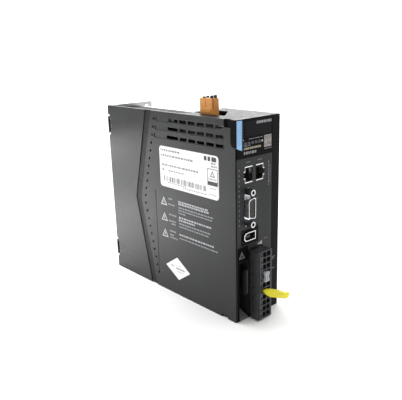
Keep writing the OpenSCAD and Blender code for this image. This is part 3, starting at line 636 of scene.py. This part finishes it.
def dsub_sockets(bm):
    for across, up in DSUB_ROWS:
        for k in range(-2, 3):
            ring_tube(bm, DSUB_X + across, DSUB_Z + k * DSUB_PITCH + up, 0.55, 0.34, -3.9, 0.8)


def encoder_strips(bm):
    first, pitch, wide, count = 11.0, 0.95, 0.45, 5
    for k in range(count):
        x = (first + k * pitch, first + k * pitch + wide)
        for z in ((70.6, 70.72), (68.08, 68.2)):
            prism(bm, "y", rectangle(x, z), 1.0, 10.5)


def connector_contacts():
    make("jackscrew_painted_lit_faces", jackscrew_painted_lit_faces, "drive_body", "steel")
    make("dsub_sockets", dsub_sockets, "drive_body", "socket")
    make("encoder_strips", encoder_strips, "drive_body", "gold")


chevron_inlay()
label_printing()
side_notices()
seal_printing()
cap_printing()
block_patch()
fascia_printing()
bay_painted_light_pieces()
safety_plug_seam()
jack_rims()
connector_contacts()

# ---------------------------------------------------------------- camera and studio

FOCAL, SENSOR = 47.57, 36.0
YAW, PITCH, ROLL = (math.radians(a) for a in (41.872, 16.428, -1.463))
EYE = Vector((-0.29298, -0.34415, 0.21255))


def make_camera():
    """The photograph's camera, from its yaw, pitch and roll."""
    forward = Vector((math.sin(YAW) * math.cos(PITCH), math.cos(YAW) * math.cos(PITCH), -math.sin(PITCH)))
    right = forward.cross(Vector((0, 0, 1))).normalized()
    up = right.cross(forward)
    level, lift = right.copy(), up.copy()
    right = math.cos(ROLL) * level + math.sin(ROLL) * lift
    up = -math.sin(ROLL) * level + math.cos(ROLL) * lift
    camera = bpy.data.cameras.new("camera")
    camera.lens, camera.sensor_width = FOCAL, SENSOR
    camera.clip_start, camera.clip_end = 0.01, 50
    holder = bpy.data.objects.new("camera", camera)
    turn = Matrix((right, up, -forward)).transposed().to_4x4()
    holder.matrix_world = Matrix.Translation(EYE) @ turn
    bpy.context.scene.collection.objects.link(holder)
    bpy.context.scene.camera = holder


def area_light(name, place, target, size, power):
    """A soft rectangular light at a place, turned towards a target."""
    light = bpy.data.lights.new(name, "AREA")
    light.shape = "RECTANGLE"
    light.size, light.size_y = size
    light.energy = power
    holder = bpy.data.objects.new(name, light)
    direction = Vector(target) - Vector(place)
    holder.location = place
    holder.rotation_mode = "QUATERNION"
    holder.rotation_quaternion = direction.to_track_quat("-Z", "Y")
    bpy.context.scene.collection.objects.link(holder)


SKY = 0.55  # how bright the studio's walls are
SEEN = 1.05  # how bright they look to the camera itself


def make_world():
    """White behind the object for the camera, and a dimmer wall for everything that it lights."""
    world = bpy.data.worlds.new("studio")
    world.use_nodes = True
    tree = world.node_tree
    wall = tree.nodes["Background"]
    wall.inputs["Color"].default_value = (1, 1, 1, 1)
    wall.inputs["Strength"].default_value = SKY
    seen = tree.nodes.new("ShaderNodeBackground")
    seen.inputs["Color"].default_value = (1, 1, 1, 1)
    seen.inputs["Strength"].default_value = SEEN
    ray = tree.nodes.new("ShaderNodeLightPath")
    choose = tree.nodes.new("ShaderNodeMixShader")
    tree.links.new(ray.outputs["Is Camera Ray"], choose.inputs[0])
    tree.links.new(wall.outputs[0], choose.inputs[1])
    tree.links.new(seen.outputs[0], choose.inputs[2])
    tree.links.new(choose.outputs[0], tree.nodes["World Output"].inputs["Surface"])
    bpy.context.scene.world = world


def make_floor():
    """A wide sheet of white paper under the object."""
    reach = 6
    bm = bmesh.new()
    for x, y in ((-reach, -reach), (reach, -reach), (reach, reach), (-reach, reach)):
        bm.verts.new((x, y, 0))
    bm.faces.new(bm.verts)
    mesh = bpy.data.meshes.new("floor")
    bm.to_mesh(mesh)
    bm.free()
    floor = bpy.data.objects.new("floor", mesh)
    bpy.context.scene.collection.objects.link(floor)
    ground = Shader("floor_paper", (0.93, 0.93, 0.93), 0.75)
    ground.tint(ground.spread(ground.noise(60, 2), 0, 1), 0.004)
    mesh.materials.append(ground.done())


def overhead_light(power, spread):
    """A broad light from straight above, which whitens the floor evenly."""
    light = bpy.data.lights.new("overhead_light", "SUN")
    light.energy = power
    light.angle = math.radians(spread)
    holder = bpy.data.objects.new("overhead_light", light)
    holder.rotation_euler = (math.radians(-12), math.radians(8), 0)
    bpy.context.scene.collection.objects.link(holder)


def make_studio():
    bpy.context.scene.view_settings.view_transform = "Standard"
    make_world()
    make_floor()
    overhead_light(power=2.28, spread=78)
    area_light("back_light", place=(1.35, 1.5, 0.75), target=(0, 0, 0.16), size=(2.2, 1.3), power=38)
    area_light("rear_floor_light", place=(-0.11, 0.24, 0.10), target=(-0.10, 0.22, 0), size=(0.10, 0.10),
               power=0.85)
    area_light("side_floor_light", place=(-0.40, 0.50, 0.42), target=(-0.13, 0.24, 0), size=(0.25, 0.25),
               power=1.4)


make_camera()
make_studio()
